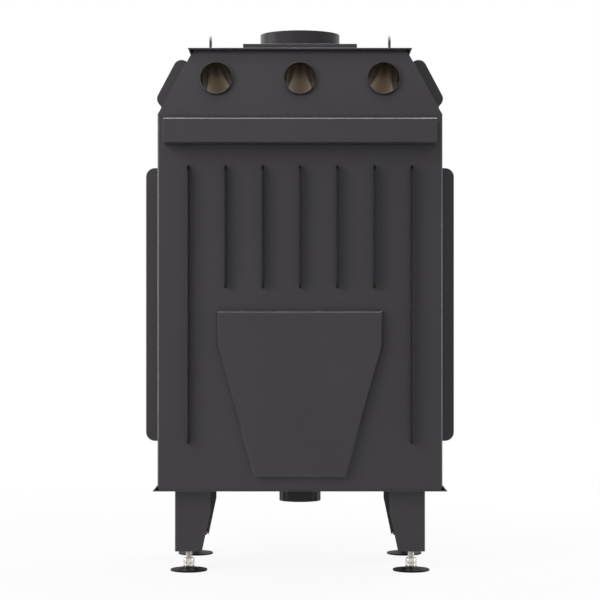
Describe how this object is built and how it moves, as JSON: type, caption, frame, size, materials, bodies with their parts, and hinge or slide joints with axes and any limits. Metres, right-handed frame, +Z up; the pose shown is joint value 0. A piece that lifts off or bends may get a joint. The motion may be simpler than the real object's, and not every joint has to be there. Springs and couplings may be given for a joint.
{
  "type": "fireplace insert",
  "caption": "Steel fireplace insert with a finned casing, a smoke hood crossed by air tubes, a glazed hinged door, an ash drawer, an air slide and levelling feet.",
  "frame": {"origin": "on the floor, under the middle of the outline", "axes": "+Z up, the door faces -Y, the rear wall faces +Y, +X to the right of someone facing the door"},
  "size_m": [0.758, 0.6082, 1.331],
  "materials": {
    "casing_paint": "satin heat-resistant paint, near black",
    "tube_steel": "satin paint outside, dark and slightly brown inside",
    "spigot_enamel": "gloss black",
    "firebox_steel": "matt, heat-darkened",
    "zinc": "bright zinc plate",
    "pad_black": "moulded black",
    "firebrick": "rough fireproof board",
    "cast_iron": "as cast",
    "door_iron": "satin heat-resistant paint",
    "glass": "clear ceramic glass",
    "rope_seal": "woven glass rope",
    "handle_steel": "brushed",
    "knob_black": "heat-resistant plastic"
  },
  "bodies": {
    "root": {"rear_wall": "casing_paint", "side_wall_left": "casing_paint", "side_wall_right": "casing_paint", "base_plate": "casing_paint", "hood_rear_panel": "casing_paint", "hood_front_panel": "casing_paint", "hood_side_left": "casing_paint", "hood_side_right": "casing_paint", "top_plate": "casing_paint", "flue_riser": "casing_paint", "flue_collar": "casing_paint", "lifting_lugs": "casing_paint", "cross_channel": "casing_paint", "rear_fins": "casing_paint", "side_fins": "casing_paint", "hood_fins": "casing_paint", "rear_duct_cover": "casing_paint", "rear_legs": "casing_paint", "front_legs": "casing_paint", "front_frame": "casing_paint", "hinge_lugs": "casing_paint", "strike_plate": "casing_paint", "air_tube_left": "tube_steel", "air_tube_centre": "tube_steel", "air_tube_right": "tube_steel", "air_inlet_spigot": "spigot_enamel", "hearth_plate": "firebox_steel", "air_box": "firebox_steel", "upper_baffle": "firebox_steel", "baffle_brackets": "firebox_steel", "air_wash_strip": "firebox_steel", "log_guard": "firebox_steel", "drawer_rails": "firebox_steel", "hinge_pins": "zinc", "leg_bolts": "zinc", "floor_bricks": "firebrick", "side_lining": "firebrick", "rear_lining": "firebrick", "lower_baffle": "firebrick", "grate": "cast_iron"},
    "door": {"door_frame": "door_iron", "door_glass": "glass", "door_seal": "rope_seal", "glass_clips": "zinc", "door_knuckles": "casing_paint"},
    "latch": {"door_handle": "handle_steel", "latch_spindle": "zinc"},
    "ash_drawer": {"ash_drawer": "firebox_steel", "ash_drawer_front": "casing_paint"},
    "air_slide": {"air_damper": "firebox_steel", "air_lever_rod": "zinc", "air_lever_knob": "knob_black"},
    "foot_front_left": {"foot_pad_front_left": "pad_black", "foot_stud_front_left": "zinc"},
    "foot_front_right": {"foot_pad_front_right": "pad_black", "foot_stud_front_right": "zinc"},
    "foot_rear_left": {"foot_pad_rear_left": "pad_black", "foot_stud_rear_left": "zinc"},
    "foot_rear_right": {"foot_pad_rear_right": "pad_black", "foot_stud_rear_right": "zinc"}
  },
  "joints": [
    {"name": "door_hinge", "type": "hinge", "parent": "root", "child": "door", "pos_m": [-0.322, -0.24785, 0.687], "axis": [0, 0, -1], "range_deg": [0, 110]},
    {"name": "latch_turn", "type": "hinge", "parent": "door", "child": "latch", "pos_m": [0.286, -0.24785, 0.687], "axis": [0, 1, 0], "range_deg": [0, 80]},
    {"name": "ash_drawer_slide", "type": "slide", "parent": "root", "child": "ash_drawer", "axis": [0, -1, 0], "range_m": [0, 0.2]},
    {"name": "air_slide_travel", "type": "slide", "parent": "root", "child": "air_slide", "axis": [1, 0, 0], "range_m": [0, 0.05]},
    {"name": "foot_front_left_level", "type": "slide", "parent": "root", "child": "foot_front_left", "axis": [0, 0, -1], "range_m": [-0.012, 0.025]},
    {"name": "foot_front_right_level", "type": "slide", "parent": "root", "child": "foot_front_right", "axis": [0, 0, -1], "range_m": [-0.012, 0.025]},
    {"name": "foot_rear_left_level", "type": "slide", "parent": "root", "child": "foot_rear_left", "axis": [0, 0, -1], "range_m": [-0.012, 0.025]},
    {"name": "foot_rear_right_level", "type": "slide", "parent": "root", "child": "foot_rear_right", "axis": [0, 0, -1], "range_m": [-0.012, 0.025]}
  ]
}
